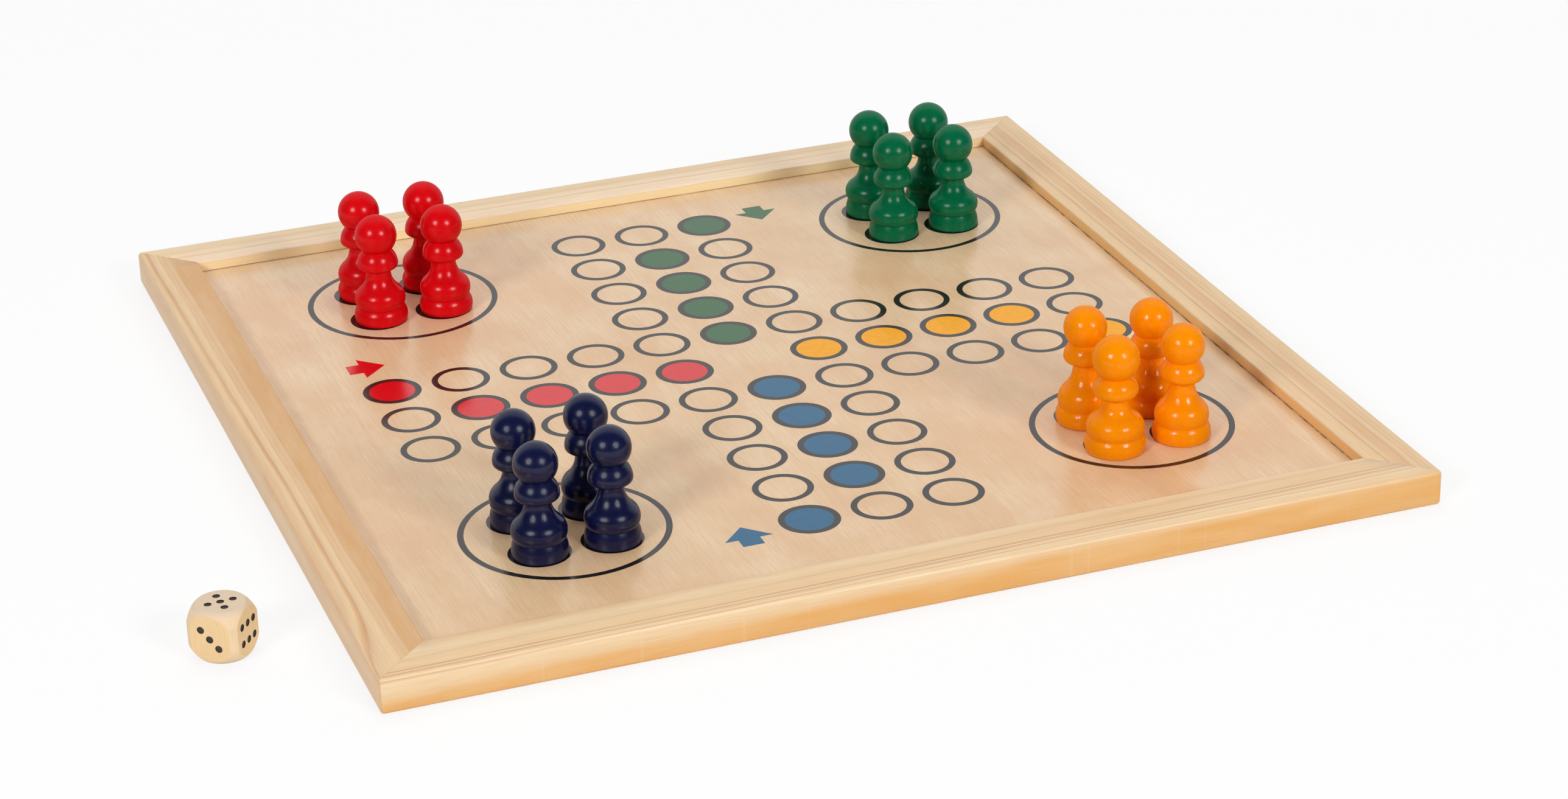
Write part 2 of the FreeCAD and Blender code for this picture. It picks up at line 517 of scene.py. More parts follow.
def sawnFrame():
    low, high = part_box("rail_front")
    panelLow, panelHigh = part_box("playing_panel")
    outer = -low.y
    inner = -high.y
    bpy.ops.mesh.primitive_cube_add(size=1, location=(0, 0, (low.z + high.z) / 2),
                                    scale=(2 * outer, 2 * outer, high.z - low.z))
    blank = bpy.context.object
    settle(blank)
    pickFaces(blank, lambda centre, normal: isLevel(normal))
    bpy.ops.mesh.inset(thickness=outer - inner, depth=0)
    pickFaces(blank, lambda centre, normal: isLevel(normal) and centre.xy.length < hair)
    bpy.ops.mesh.bridge_edge_loops()
    endEdit()

    def isInside(centre, normal):
        return max(abs(centre.x), abs(centre.y)) < inner + hair and isUpright(normal)

    grooveTop = panelHigh.z + frameShape["groovePlay"] * mm
    for height in (panelLow.z, grooveTop):   # the panel's groove, cut into the inner walls
        pickFaces(blank, isInside)
        bpy.ops.mesh.bisect(plane_co=(0, 0, height), plane_no=(0, 0, 1))
        endEdit()
    pickFaces(blank, lambda c, n: isInside(c, n) and panelLow.z < c.z < grooveTop)
    deep = (panelHigh.x + frameShape["panelGap"] * mm) / inner
    bpy.ops.mesh.extrude_region_move()
    bpy.ops.transform.resize(value=(deep, deep, 1), center_override=(0, 0, 0))

    def onOuter(corner):
        return max(abs(corner.x), abs(corner.y)) > outer - hair

    def onInner(corner):
        return abs(max(abs(corner.x), abs(corner.y)) - inner) < hair

    def onFace(corner):
        return corner.z > high.z - hair or corner.z < low.z + hair

    pickEdges(blank, lambda a, b: onOuter(a) and onOuter(b))
    bevel(frameShape["edgeRound"], frameShape["edgeSteps"])
    pickEdges(blank, lambda a, b: onInner(a) and onInner(b) and onFace(a) and onFace(b))
    bevel(frameShape["innerEase"], frameShape["easeSteps"])
    endEdit()
    closeUp(blank)
    return blank, outer


def mitredRail(blank, outer):
    rail = twin(blank, "railBlank")
    for lean in (1, -1):
        startEdit(rail)
        bpy.ops.mesh.bisect(plane_co=(0, 0, 0), plane_no=(lean, 1, 0), use_fill=True, clear_outer=True)
        endEdit()
    pickEdges(rail, lambda a, b: all(abs(abs(c.x) - abs(c.y)) < 2 * hair for c in (a, b)))
    bevel(frameShape["mitreEase"], 1)
    endEdit()
    pitch = 2 * outer / frameShape["slices"]
    for number in range(1, frameShape["slices"]):   # cross sections for the wear to follow
        startEdit(rail)
        bpy.ops.mesh.bisect(plane_co=(number * pitch - outer, 0, 0), plane_no=(1, 0, 0))
        endEdit()
    closeUp(rail)
    return rail


def makeRails():
    blank, outer = sawnFrame()
    rail = mitredRail(blank, outer)
    drop(blank)
    grit = bpy.data.textures.new("sanding", "CLOUDS")
    grit.noise_scale = frameShape["wearSize"] * mm
    for number, side in enumerate(("front", "right", "back", "left")):
        piece = twin(rail, side + "Rail")
        piece.rotation_euler.z = number * math.pi / 2
        settle(piece)
        addModifier(piece, "DISPLACE", texture=grit, texture_coords="GLOBAL", mid_level=0.5,
                    strength=frameShape["wear"] * mm)
        smooth(piece, frameShape["shadeAngle"])
        dress(piece, "board", "pine", pineMaterial(side))
        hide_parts("rail_" + side)
    drop(rail)
    print("rails sawn and mitred")


# Veneer of the playing panel

veneer = {
    "base": srgb(229, 198, 156),
    "pale": srgb(238, 212, 178),
    "rosy": srgb(217, 170, 126),
    "fleck": srgb(198, 138, 82),
    "gleam": srgb(248, 228, 198),
    "seam": srgb(92, 60, 34),
    "grainTurn": 88,
    # painted sheen: the veneer is made paler towards the back of the board
    "backSheen": 0.2,
    "cloud": {"size": 16.0, "stretch": (0.35, 1, 1), "share": 0.6},
    "rings": {"centre": (0, 350, 200), "gap": 27.0, "warp": 60.0, "share": 0.3},
    "figure": {"size": 34.0, "share": 0.5},
    "fibre": {"size": (16.0, 0.7), "span": (0.35, 0.75), "share": 0.5},
    "gleams": {"size": (8.0, 0.6), "shift": (300, 200, 0), "span": (0.56, 0.76), "share": 0.3},
    "pores": {"size": (5.0, 0.5), "span": (0.58, 0.74), "share": 0.5},
    # the dark line beside the rails comes and goes, and is weaker along the back one
    "seamLine": {"size": 6.0, "edge": (0.7, 0.2), "backStart": 0.95, "backEnd": 1.0, "shares": (0.85, 0.3)},
    "roughness": (0.3, 0.8, 0.17, 0.3),
    "relief": (0.06, 0.05),
}


def veneerMaterial():
    opening = -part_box("rail_front")[1].y
    material, tree, shader, place = newMaterial("birchVeneer")
    grain = turned(tree, place, turn=(0, 0, veneer["grainTurn"]))
    cloud = clouds(tree, turned(tree, grain, scale=veneer["cloud"]["stretch"]), veneer["cloud"])
    log = turned(tree, grain, place=inMetres(veneer["rings"]["centre"]))
    gap = veneer["rings"]["gap"] * mm
    warp = veneer["rings"]["warp"] * mm
    rings = useGroup(tree, growthRings, Vector=log, Gap=gap, Warp=warp)["Late"]
    figure = clouds(tree, place, veneer["figure"])
    fibre = streaks(tree, grain, veneer["fibre"])
    pores = streaks(tree, grain, veneer["pores"])
    shifted = turned(tree, grain, place=inMetres(veneer["gleams"]["shift"]))
    gleams = streaks(tree, shifted, veneer["gleams"])
    x, y = add(tree, "SeparateXYZ", {0: place}).outputs[:2]
    # painted sheen: the veneer turns paler towards the back, blended to the gleam colour
    paintedSheen = fade(tree, y, -opening, opening, 0.0, veneer["backSheen"])
    line = veneer["seamLine"]
    reach = squareReach(tree, x, y)
    nearRails = fade(tree, reach, *[opening - edge * mm for edge in line["edge"]])
    seam = times(tree, nearRails, clouds(tree, place, line))
    backStart = line["backStart"] * opening
    backEnd = opening - line["backEnd"] * mm
    seam = times(tree, seam, fade(tree, y, backStart, backEnd, *line["shares"]))
    colour = wash(tree, veneer["base"], veneer["pale"], cloud, veneer["cloud"])
    colour = blend(tree, paintedSheen, colour, veneer["gleam"])
    colour = wash(tree, colour, veneer["rosy"], rings, veneer["rings"])
    colour = wash(tree, colour, veneer["rosy"], figure, veneer["figure"])
    colour = stain(tree, colour, veneer["rosy"], fibre, veneer["fibre"])
    colour = stain(tree, colour, veneer["gleam"], gleams, veneer["gleams"])
    colour = stain(tree, colour, veneer["fleck"], pores, veneer["pores"])
    colour = blend(tree, seam, colour, veneer["seam"])
    cover(tree, shader, colour, pores, veneer)
    roughen(tree, shader, calc(tree, "ADD", fibre, pores), veneer["relief"])
    return material


def finishPanel():
    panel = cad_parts["playing_panel"]
    panel.data.materials.clear()
    panel.data.materials.append(veneerMaterial())
    print("panel veneered")


# Print on the playing face: a cross of round fields, four homes, coloured lanes and start arrows

printShape = {
    "shift": (4.3, 1.9),
    "pitch": 24.29,
    "laneOffset": 24.65,
    "armFields": 5,
    "fieldOuter": 20.04,
    "fieldInner": 15.75,
    "fillOverlap": 0.3,
    "homeReach": 98.3,
    "homeOuter": 68.1,
    "homeInner": 64.0,
    "spotDiameter": 20.2,
    "spotSpacing": 23.9,
    "arrowReach": (131.8, 127.0, 118.6),   # tail, notch and tip from the middle of the cross
    "arrowSide": 46.8,
    "arrowShaft": 7.2,
    "arrowHead": 16.0,
    "arrowBarb": 0.01,   # how far past the notch the head is widest
    "lineFilm": 0.03,
    "colourFilm": 0.02,
    "roundSteps": 72,
}

inks = {
    "red": {"colour": srgb(222, 10, 24), "shine": 0.5, "slot": "red_lacquer", "turn": 0},
    "blue": {"colour": srgb(36, 100, 138), "shine": 0.3, "slot": "blue_lacquer", "turn": 90},
    "yellow": {"colour": srgb(254, 174, 20), "shine": 0.14, "slot": "orange_lacquer", "turn": 180},
    "green": {"colour": srgb(30, 96, 44), "shine": 0.45, "slot": "green_lacquer", "turn": 270},
}
lineInk = {"colour": srgb(34, 28, 28), "shine": 0.5}

inkFinish = {
    "deepening": 0.86,
    "cloud": {"size": 2.5, "share": 0.6},
    "grain": {"size": (4.0, 0.25), "span": (0.4, 0.8), "share": 0.5},
    "roughness": (0.0, 1.0, 0.13, 0.17),
    "relief": (0.04, 0.05),
}


def inkMaterial(name, values):
    finish = inkFinish
    colour = values["colour"]
    deep = toned(colour, finish["deepening"])
    material, tree, shader, place = newMaterial(name)
    cloud = clouds(tree, place, finish["cloud"])
    grain = streaks(tree, turned(tree, place, turn=(0, 0, veneer["grainTurn"])), finish["grain"])
    tone = wash(tree, colour, deep, cloud, finish["cloud"])
    tone = stain(tree, tone, deep, grain, finish["grain"])
    cover(tree, shader, tone, cloud, finish)
    shader.inputs["Specular IOR Level"].default_value = values["shine"]
    roughen(tree, shader, grain, finish["relief"])
    return material


def film(name, thickness):
    piece = bpy.context.object
    piece.name = name
    addModifier(piece, "SOLIDIFY", thickness=thickness * mm, offset=1)
    return piece


def roundBlank(diameter, margin):
    # a flat disc in edit mode, its inner part picked
    clearSelection()
    steps = printShape["roundSteps"]
    bpy.ops.mesh.primitive_circle_add(vertices=steps, radius=diameter / 2 * mm, fill_type="NGON")
    startEdit(bpy.context.object)
    bpy.ops.mesh.inset(thickness=margin * mm, depth=0)


def printedRing(name, outer, inner):
    roundBlank(outer, (outer - inner) / 2)
    bpy.ops.mesh.delete(type="ONLY_FACE")
    endEdit()
    return film(name, printShape["lineFilm"])


def printedDisc(name, diameter, thickness):
    roundBlank(diameter, diameter / 8)
    endEdit()
    return film(name, thickness)


def printedArrow(name):
    # points along +X: the head is a widened end drawn to a point
    tail, notch, tip = printShape["arrowReach"]
    shaft = printShape["arrowShaft"] / 2 * mm
    head = printShape["arrowHead"] / 2 * mm
    clearSelection()
    bpy.ops.mesh.primitive_plane_add(size=2 * shaft, location=(-(tail + notch) / 2 * mm, 0, 0))
    piece = bpy.context.object
    settle(piece)
    startEdit(piece)
    bpy.ops.transform.resize(value=((tail - notch) * mm / (2 * shaft), 1, 1),
                             center_override=(-(tail + notch) / 2 * mm, 0, 0))
    endEdit()
    edge = -notch * mm
    pickEdges(piece, lambda a, b: abs(a.x - edge) < hair and abs(b.x - edge) < hair)
    bpy.ops.mesh.extrude_region_move(TRANSFORM_OT_translate={"value": (printShape["arrowBarb"] * mm, 0, 0)})
    bpy.ops.transform.resize(value=(1, head / shaft, 1), center_override=(edge, 0, 0))
    bpy.ops.mesh.extrude_region_move(TRANSFORM_OT_translate={"value": ((notch - tip) * mm, 0, 0)})
    bpy.ops.mesh.merge(type="CENTER")
    endEdit()
    takeUp(piece)
    return film(name, printShape["colourFilm"])


def setDown(master, name, x, y, turn=0):
    # a copy of a printed mark, placed from the middle of the cross
    shiftX, shiftY = printShape["shift"]
    piece = twin(master, name)
    piece.location = ((x + shiftX) * mm, (y + shiftY) * mm, 0)
    piece.rotation_euler.z = turn
    settle(piece)
    return piece


def swung(x, y, angle):
    # a place turned about the middle of the cross
    return x * math.cos(angle) - y * math.sin(angle), x * math.sin(angle) + y * math.cos(angle)


def armPlace(step, lane, angle):
    # a field on the arm that points to -X, then turned to the colour's own arm
    x = -(printShape["laneOffset"] + (step - 1) * printShape["pitch"])
    return swung(x, lane * printShape["laneOffset"], angle)


def makePrint():
    ring = printedRing("fieldRing", printShape["fieldOuter"], printShape["fieldInner"])
    homeRing = printedRing("homeRing", printShape["homeOuter"], printShape["homeInner"])
    spot = printedDisc("homeSpot", printShape["spotDiameter"], printShape["lineFilm"])
    fillDiameter = printShape["fieldInner"] + printShape["fillOverlap"]
    fill = printedDisc("fieldFill", fillDiameter, printShape["colourFilm"])
    arrow = printedArrow("startArrow")
    lines = []
    for colour, values in inks.items():
        angle = math.radians(values["turn"])
        marks = []
        for step in range(1, printShape["armFields"] + 1):
            for lane in (-1, 0, 1):
                isCorner = step == 1 and lane == 1   # the next arm prints the shared corner
                x, y = armPlace(step, lane, angle)
                if not isCorner:
                    lines.append(setDown(ring, "field", x, y))
                isStart = step == printShape["armFields"] and lane == 1
                isLane = lane == 0 and step < printShape["armFields"]
                if isStart or isLane:
                    marks.append(setDown(fill, "fill", x, y))
        arrowX, arrowY = swung(0, printShape["arrowSide"], angle)
        marks.append(setDown(arrow, "arrow", arrowX, arrowY, angle))
        piece = gather(marks, colour + "Print")
        dress(piece, "board", values["slot"], inkMaterial(colour + "Ink", values))
        homeX, homeY = swung(-printShape["homeReach"], printShape["homeReach"], angle)
        lines.append(setDown(homeRing, "home", homeX, homeY))
        half = printShape["spotSpacing"] / 2
        for stepX in (-half, half):
            for stepY in (-half, half):
                lines.append(setDown(spot, "spot", homeX + stepX, homeY + stepY))
    piece = gather(lines, "linePrint")
    dress(piece, "board", "veneer", inkMaterial("lineInk", lineInk))
    for master in (ring, homeRing, spot, fill, arrow):
        drop(master)
    print("playing face printed")


# Pawns, turned to one kind of profile in their own sizes

pawnShape = {
    "footRound": 0.6,
    "baseDiameter": 18.4,
    "baseHeight": 5.7,
    "baseSwell": 0.45,
    "waistDiameter": 16.4,
    "bellDiameter": 18.0,
    "bellRise": 2.8,
    "shoulderDiameter": 14.4,
    "shoulderRise": 6.7,
    "neckRise": 14.4,
    "neckDiameter": 8.4,
    "collarDiameter": 14.5,
    "collarEdge": 1.5,
    "collarHeight": 6.7,
    "seatDiameter": 10.0,
    "headDiameter": 14.35,
    "turnSteps": 72,
    "arcStep": 7.0,
    "shadeAngle": 35,
}

lacquers = {   # each colour is a batch of its own, with necks a little longer or shorter
    "red": {"colour": srgb(220, 8, 18), "deep": srgb(206, 2, 12),
            "ripple": 0.6, "pebble": 0.04, "dullness": 0.21, "shine": 0.33, "broken": 0.1,
            "own": {"neckDiameter": 9.0, "baseSwell": 0.7, "headDiameter": 14.8},
            "longer": (0.0, 0.0, 0.0, 0.0)},
    "green": {"colour": srgb(0, 106, 66), "deep": srgb(0, 90, 54),
              "ripple": 0.6, "pebble": 0.04, "dullness": 0.2, "shine": 0.5, "broken": 0.1,
              "own": {"bellDiameter": 18.4, "baseSwell": 0.3, "headDiameter": 14.8},
              "longer": (0.0, -0.4, 0.5, 0.0)},
    "blue": {"colour": srgb(15, 21, 63), "deep": srgb(8, 12, 43),
             "ripple": 0.6, "pebble": 0.04, "dullness": 0.21, "shine": 0.8, "broken": 0.15,
             "own": {"baseDiameter": 18.2, "baseSwell": 0.35},
             "longer": (-0.6, 0.4, 0.0, 0.9)},
    "orange": {"colour": srgb(252, 147, 0), "deep": srgb(246, 134, 0),
               "ripple": 0.4, "pebble": 0.35, "dullness": 0.17, "shine": 0.6, "broken": 0.8,
               "own": {"baseDiameter": 18.8, "waistDiameter": 17.0, "baseSwell": 0.7, "collarEdge": 1.8,
                       "headDiameter": 14.5},
               "longer": (-0.7, 0.8, 1.5, 0.2),
               "stout": {"baseDiameter": 19.5, "waistDiameter": 18.0, "bellDiameter": 19.2,
                         "neckDiameter": 9.6, "collarDiameter": 14.9, "seatDiameter": 9.4,
                         "headDiameter": 15.6}},
}

lacquerFinish = {
    "fibre": {"size": (6.0, 0.3), "span": (0.3, 0.8), "share": 0.5, "relief": 0.03},
    "cloud": {"size": 3.0, "share": 0.3},
    "pebbles": {"size": 0.9},
    "grain": {"size": 0.45, "span": (0.4, 0.65)},
    "ridges": {"pitch": 0.3, "rise": (8.0, 12.0), "fall": (17.0, 20.0), "least": 0.04},
    "roughness": (0.2, 0.8, 0.38, 0.5),
    "relief": (0.3, 0.08),
}


def arcThrough(start, middle, end, step):
    # points after start on the arc that passes through middle
    (ax, ay), (bx, by), (cx, cy) = start, middle, end
    twist = 2 * (ax * (by - cy) + bx * (cy - ay) + cx * (ay - by))
    sizes = [x * x + y * y for x, y in (start, middle, end)]
    ux = (sizes[0] * (by - cy) + sizes[1] * (cy - ay) + sizes[2] * (ay - by)) / twist
    uy = (sizes[0] * (cx - bx) + sizes[1] * (ax - cx) + sizes[2] * (bx - ax)) / twist
    radius = math.hypot(ax - ux, ay - uy)
    first = math.atan2(ay - uy, ax - ux)
    sweep = (math.atan2(cy - uy, cx - ux) - first) % math.tau
    halfway = (math.atan2(by - uy, bx - ux) - first) % math.tau
    if halfway > sweep:
        sweep -= math.tau
    count = max(2, math.ceil(abs(math.degrees(sweep)) / step))
    angles = [first + sweep * number / count for number in range(1, count + 1)]
    return [(ux + radius * math.cos(a), uy + radius * math.sin(a)) for a in angles]


def bulge(start, end, swell):
    # the middle of an arc that stands out from the straight line by the swell
    alongX, alongY = end[0] - start[0], end[1] - start[1]
    share = swell / math.hypot(alongX, alongY)
    return (start[0] + end[0]) / 2 + alongY * share, (start[1] + end[1]) / 2 - alongX * share


def flowOn(points, end, step):
    # an arc that carries on smoothly from the arc that was drawn last
    (ax, ay), (bx, by), (cx, cy) = points[-3:]
    before = math.atan2(by - ay, bx - ax)
    last = math.atan2(cy - by, cx - bx)
    heading = last + (last - before) / 2
    alongX, alongY = end[0] - cx, end[1] - cy
    height = math.tan((heading - math.atan2(alongY, alongX)) / 2) / 2
    middle = (cx + alongX / 2 - alongY * height, cy + alongY / 2 + alongX * height)
    return arcThrough((cx, cy), middle, end, step)


def quarterRound(start, end, step):
    # a rounded corner from a level line to an upright one
    reach = math.sqrt(0.5)
    middle = (start[0] + (end[0] - start[0]) * reach, end[1] - (end[1] - start[1]) * reach)
    return arcThrough(start, middle, end, step)


def pawnProfile(shape):
    step = shape["arcStep"]
    baseRadius = shape["baseDiameter"] / 2
    collarRadius = shape["collarDiameter"] / 2
    headRadius = shape["headDiameter"] / 2
    foot = shape["footRound"]
    edge = shape["collarEdge"]
    heel = (baseRadius - foot, 0)
    rim = (baseRadius, foot)
    waist = (shape["waistDiameter"] / 2, shape["baseHeight"])
    bell = (shape["bellDiameter"] / 2, waist[1] + shape["bellRise"])
    shoulder = (shape["shoulderDiameter"] / 2, waist[1] + shape["shoulderRise"])
    neck = (shape["neckDiameter"] / 2, waist[1] + shape["neckRise"])
    under = (collarRadius - edge, neck[1])
    widest = (collarRadius, neck[1] + edge)
    seat = (shape["seatDiameter"] / 2, neck[1] + shape["collarHeight"])
    headHeight = seat[1] + math.sqrt(headRadius ** 2 - seat[0] ** 2)
    crown = (0, headHeight + headRadius)
    points = [(0, 0), heel]
    points += quarterRound(heel, rim, 2 * step)
    points += arcThrough(rim, bulge(rim, waist, shape["baseSwell"]), waist, step)
    points += arcThrough(waist, bell, shoulder, step)
    points += flowOn(points, neck, step / 2)
    points += [under]
    points += quarterRound(under, widest, 2 * step)
    points += flowOn(points, seat, step)
    points += arcThrough(seat, (headRadius, headHeight), crown, step)
    return points


def turnPawn(shape):
    # the profile is drawn out from one corner and spun about the upright axis
    points = pawnProfile(shape)
    clearSelection()
    bpy.ops.mesh.primitive_plane_add(size=mm)
    pawn = bpy.context.object
    startEdit(pawn, False)
    bpy.ops.mesh.select_mode(type="VERT")
    bpy.ops.mesh.select_all(action="SELECT")
    bpy.ops.mesh.merge(type="CENTER")
    for (fromX, fromZ), (toX, toZ) in zip(points, points[1:]):
        bpy.ops.mesh.extrude_region_move(
            TRANSFORM_OT_translate={"value": ((toX - fromX) * mm, 0, (toZ - fromZ) * mm)})
    bpy.ops.mesh.select_all(action="SELECT")
    bpy.ops.mesh.spin(steps=shape["turnSteps"], angle=math.tau, center=(0, 0, 0), axis=(0, 0, 1))
    endEdit()
    closeUp(pawn)
    smooth(pawn, shape["shadeAngle"])
    return pawn


def lacquerRelief(tree, place, fibre, values):
    # the tool's ridges round the flank, pebbles in the paint and a little fibre
    flank = lacquerFinish["ridges"]
    height = add(tree, "SeparateXYZ", {0: place}).outputs[2]
    ridges = useGroup(tree, latheRidges, Vector=place, Pitch=flank["pitch"] * mm)["Ridge"]
    pebbles = clouds(tree, place, lacquerFinish["pebbles"])
    rise = fade(tree, height, *inMetres(flank["rise"]), flank["least"], 1.0)
    fall = fade(tree, height, *inMetres(flank["fall"]), 1.0, flank["least"])
    relief = times(tree, ridges, times(tree, rise, fall))
    relief = times(tree, relief, values["ripple"])
    relief = calc(tree, "MULTIPLY_ADD", pebbles, values["pebble"], relief)
    return calc(tree, "MULTIPLY_ADD", fibre, lacquerFinish["fibre"]["relief"], relief)


def lacquerMaterial(name, values):
    finish = lacquerFinish
    material, tree, shader, place = newMaterial(name)
    fibre = streaks(tree, turned(tree, place, turn=(0, 90, 0)), finish["fibre"])
    cloud = clouds(tree, place, finish["cloud"])
    grain = clouds(tree, place, finish["grain"])
    tone = fade(tree, fibre, *finish["fibre"]["span"], 0.0, finish["fibre"]["share"])
    tone = calc(tree, "ADD", tone, times(tree, cloud, finish["cloud"]["share"]))
    leastShine = values["shine"] * (1 - values["broken"])
    shine = fade(tree, grain, *finish["grain"]["span"], leastShine, values["shine"])
    cover(tree, shader, blend(tree, tone, values["colour"], values["deep"]), fibre, finish)
    feed(tree, shader.inputs["Coat Weight"], shine)
    shader.inputs["Coat Roughness"].default_value = values["dullness"]
    shader.inputs["Specular IOR Level"].default_value = 0.0   # the coat alone shines
    roughen(tree, shader, lacquerRelief(tree, place, fibre, values), finish["relief"])
    return material


def makePawns():
    inkHeight = printShape["lineFilm"] * mm
    for colour, values in lacquers.items():
        material = lacquerMaterial(colour + "Lacquer", values)
        for number, longer in enumerate(values["longer"], 1):
            node = "pawn_%s_%d" % (colour, number)
            low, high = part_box(node)
            shape = {**pawnShape, **values["own"]}
            if number == 1:
                shape.update(values.get("stout", {}))   # the foremost orange pawn is thicker
            shape["neckRise"] += longer
            pawn = turnPawn(shape)
            pawn.name = "%sPawn%d" % (colour, number)
            pawn.location = ((low.x + high.x) / 2, (low.y + high.y) / 2, low.z + inkHeight)
            settle(pawn)
            dress(pawn, node, colour + "_lacquer", material)
            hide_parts(node)
    print("pawns turned and lacquered")


# Die: a cube taken down by a drum and a ball, with drilled and painted pips

dieShape = {
    "ball": 23.0,
    "ballSteps": (64, 32),
    "drum": 21.6,
    "drumSteps": 96,
    "turn": 50.5,
    "pip": 2.4,
    "pipSteps": 32,
    "pipDepth": 0.3,
    "pipSpread": 2.8,
    "sixReach": 3.6,
    "voxel": 0.25,
    "softening": 6,
    "shadeAngle": 35,
    "faces": {   # pips, and the turn that brings them from the top to their side
        5: (0, 0, 0), 2: (180, 0, 0), 6: (90, 0, 0), 1: (-90, 0, 0), 3: (0, -90, 0), 4: (0, 90, 0)},
}

dieWood = {
    "side": srgb(236, 203, 153),
    "turned": srgb(236, 210, 173),
    "end": srgb(224, 201, 174),
    "streak": srgb(230, 190, 136),
    "pore": srgb(178, 150, 120),
    "fibre": {"size": (7.0, 0.28), "span": (0.4, 0.75), "share": 0.5},
    "pores": {"size": (2.0, 0.22), "span": (0.62, 0.75), "share": 0.45},
    "sideEdge": (0.35, -0.05),
    "endEdge": (1.6, 0.2),
    "roughness": (0.2, 0.8, 0.5, 0.65),
    "specular": 0.25,
    "relief": (0.15, 0.1),
}

pipPaint = {
    "colour": srgb(46, 34, 30),
    "wornLevel": 1.8,
    "cloud": {"size": 0.6, "share": 0.5},
    "roughness": (0.0, 1.0, 0.5, 0.7),
}


def pipPlaces(count):
    reach = dieShape["sixReach"] if count == 6 else dieShape["pipSpread"]
    spread = dieShape["pipSpread"]
    places = [(0, 0)] if count % 2 else []
    if count > 1:
        places += [(reach, spread), (-reach, -spread)]
    if count > 3:
        places += [(-reach, spread), (reach, -spread)]
    if count == 6:
        places += [(0, spread), (0, -spread)]
    return places


def dieMaterial(centre, side):
    material, tree, shader, place = newMaterial("dieWood")
    middle = turned(tree, place, place=-centre)
    body = turned(tree, middle, turn=(0, 0, -dieShape["turn"]))
    upright = turned(tree, body, turn=(0, 90, 0))
    fibre = streaks(tree, upright, dieWood["fibre"])
    pores = streaks(tree, upright, dieWood["pores"])
    x, y, z = add(tree, "SeparateXYZ", {0: body}).outputs
    reach = squareReach(tree, x, y)
    flat = fade(tree, reach, *[side / 2 - edge * mm for edge in dieWood["sideEdge"]])
    end = fade(tree, calc(tree, "ABSOLUTE", z), *[side / 2 - edge * mm for edge in dieWood["endEdge"]])
    colour = blend(tree, flat, dieWood["turned"], dieWood["side"])
    colour = stain(tree, colour, dieWood["streak"], fibre, dieWood["fibre"])
    colour = blend(tree, end, colour, dieWood["end"])
    colour = stain(tree, colour, dieWood["pore"], pores, dieWood["pores"])
    cover(tree, shader, colour, fibre, dieWood)
    shader.inputs["Specular IOR Level"].default_value = dieWood["specular"]
    roughen(tree, shader, calc(tree, "ADD", fibre, pores), dieWood["relief"])
    return material


def paintMaterial():
    colour = pipPaint["colour"]
    worn = toned(colour, pipPaint["wornLevel"])
    material, tree, shader, place = newMaterial("pipPaint")
    cloud = clouds(tree, place, pipPaint["cloud"])
    cover(tree, shader, wash(tree, colour, worn, cloud, pipPaint["cloud"]), cloud, pipPaint)
    return material


def pipDrills(side):
    # the pips of all six faces as one cutter
    drills = []
    for count, turn in dieShape["faces"].items():
        marks = []
        for x, y in pipPlaces(count):
            clearSelection()
            bpy.ops.mesh.primitive_cylinder_add(
                vertices=dieShape["pipSteps"], radius=dieShape["pip"] / 2 * mm,
                depth=2 * dieShape["pipDepth"] * mm, location=(x * mm, y * mm, side / 2))
            mark = bpy.context.object
            settle(mark)
            marks.append(mark)
        drill = gather(marks, "drill")
        drill.rotation_euler = [math.radians(angle) for angle in turn]
        settle(drill)
        drills.append(drill)
    return gather(drills, "drills")


def makeDie():
    low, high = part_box("die")
    centre = (low + high) / 2
    side = high.z - low.z
    wood = dieMaterial(centre, side)
    paint = paintMaterial()
    clearSelection()
    segments, rings = dieShape["ballSteps"]
    bpy.ops.mesh.primitive_uv_sphere_add(segments=segments, ring_count=rings,
                                         radius=dieShape["ball"] / 2 * mm)
    ball = bpy.context.object
    clearSelection()
    bpy.ops.mesh.primitive_cylinder_add(vertices=dieShape["drumSteps"], radius=dieShape["drum"] / 2 * mm,
                                        depth=2 * side)
    drum = bpy.context.object
    clearSelection()
    bpy.ops.mesh.primitive_cube_add(size=side)
    body = bpy.context.object
    body.name = "woodenDie"
    for cutter in (drum, ball):
        addModifier(body, "BOOLEAN", operation="INTERSECT", object=cutter, solver="EXACT")
        drop(cutter)
    addModifier(body, "REMESH", mode="VOXEL", voxel_size=dieShape["voxel"] * mm)
    addModifier(body, "SMOOTH", factor=0.5, iterations=dieShape["softening"])
    body.data.materials.append(wood)
    drill = pipDrills(side)
    drill.data.materials.append(paint)
    addModifier(body, "BOOLEAN", operation="DIFFERENCE", object=drill, solver="EXACT",
                material_mode="TRANSFER")
    drop(drill)
    body.rotation_euler.z = math.radians(dieShape["turn"])
    body.location = centre
    settle(body)
    smooth(body, dieShape["shadeAngle"])
    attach(body, "die")
    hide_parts("die")
    print("die turned down and pipped")


# Studio: the photo's camera, a round light on either side of it, a wide one above, a white backdrop

photoCamera = {
    "place": (-0.3849, -1.1238, 0.5411),
    "turn": (64.944, 1.457, -20.263),
    "lens": 86.88,
    "sensor": 36.0,
    "nearest": 0.01,
}

